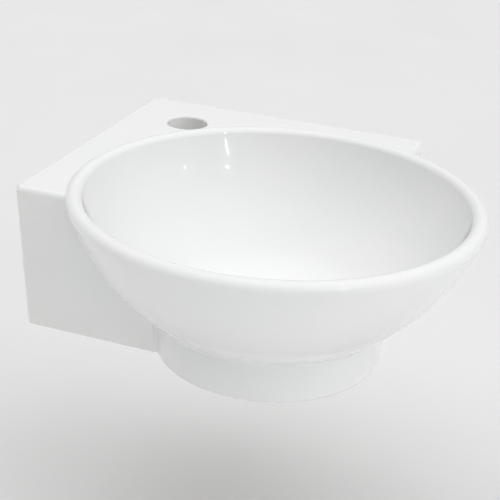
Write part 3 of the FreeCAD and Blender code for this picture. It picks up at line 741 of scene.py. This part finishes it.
def plug_dome():
    """The shut plug's cap: a shallow dome, whose height falls with the square of
    the radius, rounded into a thin edge, and the neck below it."""
    cap_r, rise, edge_t = 0.031, 0.0032, 0.0018
    neck_r, neck_len = 0.012, 0.0045
    under = FLANGE_TOP + 0.0004
    edge_top = under + edge_t
    neck_low = under - neck_len
    r = np.linspace(0.0, cap_r - 0.0010, 26)
    dome = np.stack([r, edge_top + rise * (1.0 - (r / cap_r) ** 2)], axis=1)
    edge = rounded(dome[-2], (cap_r, edge_top), (cap_r, under), 0.0008, 8)
    low = outline([(cap_r, under, 0.0003), (neck_r, under, 0.0), (neck_r, neck_low, 0.0006),
                   (0.0, neck_low, 0.0)], 5)
    return from_grid(carried_round(np.concatenate([dome, edge, low]), round_angles(128)), False)


def hanger_stud():
    """A stud along the left wall's bolt axis, in millimetres: the radius is a
    helix ridge over a core, coarse and sharp on the wall side with a tapered
    point, fine and flat on the nut side, plain between."""
    point_x, shoulder_x, end_x = -60.0, 3.0, 39.0
    wood_pitch, machine_pitch = 4.2, 1.5
    wood_r, wood_most, core_share, plain_r = 4.8, 4.79, 0.74, 4.4
    tip_r, machine_r, machine_deep = 0.6, 4.98, 0.86
    angle = round_angles(56)
    x = np.concatenate([np.linspace(point_x, -4.0, 240), np.linspace(-3.7, shoulder_x, 12),
                        np.linspace(3.2, 38.99, 330)])[:, None]
    coarse = ridge(x / wood_pitch - angle / TAU, 0.05, 0.20)
    fine = ridge(x / machine_pitch - angle / TAU, 0.12, 0.38)
    grip = ramp(-x, 5.0, 9.0)
    crest = tip_r + (wood_r - tip_r) * ramp(x, point_x, -53.0)
    wood = crest * core_share + (1.0 - core_share) * crest * coarse * grip
    run_out = (1.0 - grip) * (plain_r - core_share * crest) * (x > -20.0)
    wood = np.where(grip > 0.0, wood + run_out, plain_r)
    run_in = ramp(x, 4.0, 6.5) * ramp(end_x - x, 0.0, 1.0)
    machine = machine_r - machine_deep * (1.0 - fine * run_in) * ramp(x, shoulder_x, 5.0)
    radius = np.where(x < 0.0, np.minimum(wood, wood_most),
                      np.where(x < shoulder_x, plain_r, machine))
    x = np.broadcast_to(x, radius.shape)
    grid = np.stack([x, radius * np.cos(angle), radius * np.sin(angle)], axis=-1) * MM
    return from_grid(capped(grid + np.array([0.0, -BOLT_AT, BOLT_Z])), False)


china_body()

tube_points, tube_tris = waste_tube()
piece("waste_tube", tube_points, tube_tris, "basin", CHROME, "waste_body")
arm_points, arm_tris = cross_arms()
piece("waste_cross_arms", arm_points, arm_tris, "basin", CHROME, "waste_body")
dome_points, dome_tris = plug_dome()
piece("plug_dome", dome_points, dome_tris, "plug", CHROME, "plug_cap")

stud_points, stud_tris = hanger_stud()
piece("left_stud", stud_points, stud_tris, "basin", ZINC, "hanger_bolts")
rear_points = np.stack([-stud_points[:, 1], -stud_points[:, 0], stud_points[:, 2]], axis=1)
piece("rear_stud", rear_points, stud_tris, "basin", ZINC, "hanger_bolts")


# --- floor, lights and camera --------------------------------------------------

def floor():
    """A level sheet well below the basin, seen from above only, so that the
    basin can be looked at from underneath. It is pale where it is seen, and
    paler where it only throws light back."""
    half, level = 12.0, -0.34           # half its side, and its height
    corners = [[-half, -half, level], [half, -half, level], [half, half, level],
               [-half, half, level]]
    material, tree, shader, where = new_material("floor_paint")
    pale = mixed(tree, patches(tree, where, 3.0, 0.3, 0.7), grey(0.76), grey(0.78))
    tone = mixed(tree, seen_directly(tree), grey(0.92), pale)
    tree.links.new(tone, shader.inputs["Base Color"])
    shader.inputs["Roughness"].default_value = 0.9
    under = tree.nodes.new("ShaderNodeNewGeometry").outputs["Backfacing"]
    clear = tree.nodes.new("ShaderNodeBsdfTransparent")
    both = add(tree, "ShaderNodeMixShader", {"Fac": under})
    tree.links.new(shader.outputs["BSDF"], both.inputs[1])
    tree.links.new(clear.outputs["BSDF"], both.inputs[2])
    out = next(n for n in tree.nodes if n.bl_idname == "ShaderNodeOutputMaterial")
    tree.links.new(both.outputs["Shader"], out.inputs["Surface"])
    mesh = bpy.data.meshes.new("floor")
    mesh.from_pydata(corners, [], [[0, 1, 2, 3]])
    mesh.materials.append(material)
    obj = bpy.data.objects.new("floor", mesh)
    bpy.context.scene.collection.objects.link(obj)


def area_light(name, at, aim, width, height, watts):
    """A flat lamp that faces the point it aims at and isn't seen itself."""
    lamp = bpy.data.lights.new(name, "AREA")
    lamp.shape = "RECTANGLE"
    lamp.size, lamp.size_y = width, height
    lamp.energy = watts
    obj = bpy.data.objects.new(name, lamp)
    bpy.context.scene.collection.objects.link(obj)
    obj.location = at
    obj.rotation_euler = (Vector(aim) - Vector(at)).to_track_quat("-Z", "Y").to_euler()
    obj.visible_camera = False


FILL_FROM = (0.853, -0.492, 0.174)      # towards the soft fill, on the right in front
ACROSS = (0.985, 0.174, 0.0)            # from the left soft light to the right one


def world_light(backdrop, overhead, sides, front):
    """A soft room: light from overhead, from high up on both sides and from low
    on the right. The camera and reflections see an even pale backdrop instead."""
    world = bpy.data.worlds.new("room")
    bpy.context.scene.world = world
    world.use_nodes = True
    tree = world.node_tree
    way = tree.nodes.new("ShaderNodeTexCoord").outputs["Generated"]
    height = add(tree, "ShaderNodeSeparateXYZ", {"Vector": way}).outputs["Z"]

    def along(direction):
        """How far a ray runs in a direction, from -1 to 1."""
        dot = add(tree, "ShaderNodeVectorMath", operation="DOT_PRODUCT")
        tree.links.new(way, dot.inputs[0])
        dot.inputs[1].default_value = direction
        return dot.outputs["Value"]

    def soft(value, low, high, strength):
        """Light that grows smoothly from 0 at low to its strength at high."""
        return add(tree, "ShaderNodeMapRange", {"Value": value, "From Min": low, "From Max": high,
                                                "To Min": 0.0, "To Max": strength},
                   interpolation_type="SMOOTHSTEP").outputs["Result"]

    aside = math_node(tree, "ADD", math_node(tree, "ABSOLUTE", along(ACROSS)), height)
    light = math_node(tree, "ADD", soft(height, 0.55, 1.0, overhead),
                      soft(aside, 1.05, 1.41, sides))
    light = math_node(tree, "ADD", light, soft(along(FILL_FROM), 0.6, 1.0, front))
    seen = seen_directly(tree)
    hidden = math_node(tree, "SUBTRACT", 1.0, seen)
    strength = math_node(tree, "ADD", math_node(tree, "MULTIPLY", light, hidden),
                         math_node(tree, "MULTIPLY", seen, backdrop))
    back = tree.nodes["Background"]
    back.inputs["Color"].default_value = (1.0, 1.0, 1.0, 1.0)
    tree.links.new(strength, back.inputs["Strength"])


def photo_camera():
    """The camera fitted to the photograph: a place, a direction and a small roll."""
    azimuth, elevation, roll = (math.radians(v) for v in (-18.663, 24.471, -3.368))
    focal_pixels, frame_pixels, sensor = 1178.109, 500.0, 36.0
    ahead = Vector((math.sin(azimuth) * math.cos(elevation),
                    math.cos(azimuth) * math.cos(elevation), -math.sin(elevation)))
    level_right = Vector((math.cos(azimuth), -math.sin(azimuth), 0.0))
    level_down = ahead.cross(level_right)
    right = math.cos(roll) * level_right + math.sin(roll) * level_down
    down = -math.sin(roll) * level_right + math.cos(roll) * level_down
    lens = bpy.data.cameras.new("photo_camera")
    lens.sensor_width = sensor
    lens.lens = sensor * focal_pixels / frame_pixels
    lens.clip_start, lens.clip_end = 0.01, 50.0
    obj = bpy.data.objects.new("photo_camera", lens)
    bpy.context.scene.collection.objects.link(obj)
    place = Matrix((right, -down, -ahead)).transposed().to_4x4()
    place.translation = Vector((0.43666, -0.98490, 0.334215))
    obj.matrix_world = place
    bpy.context.scene.camera = obj


floor()
world_light(backdrop=0.76, overhead=1.65, sides=0.95, front=1.0)
HIGHLIGHTS = (0.10, -0.07, -0.01)       # where the bowl's back wall mirrors the lamps
area_light("front_strip", (1.92, -1.43, 1.0), HIGHLIGHTS, 0.05, 0.36, 0.6)
area_light("front_spot", (1.815, -1.23, 1.385), HIGHLIGHTS, 0.06, 0.06, 0.25)
area_light("side_spot", (2.303, -0.27, 1.1), HIGHLIGHTS, 0.05, 0.05, 0.12)
photo_camera()
bpy.context.scene.view_settings.view_transform = "Standard"
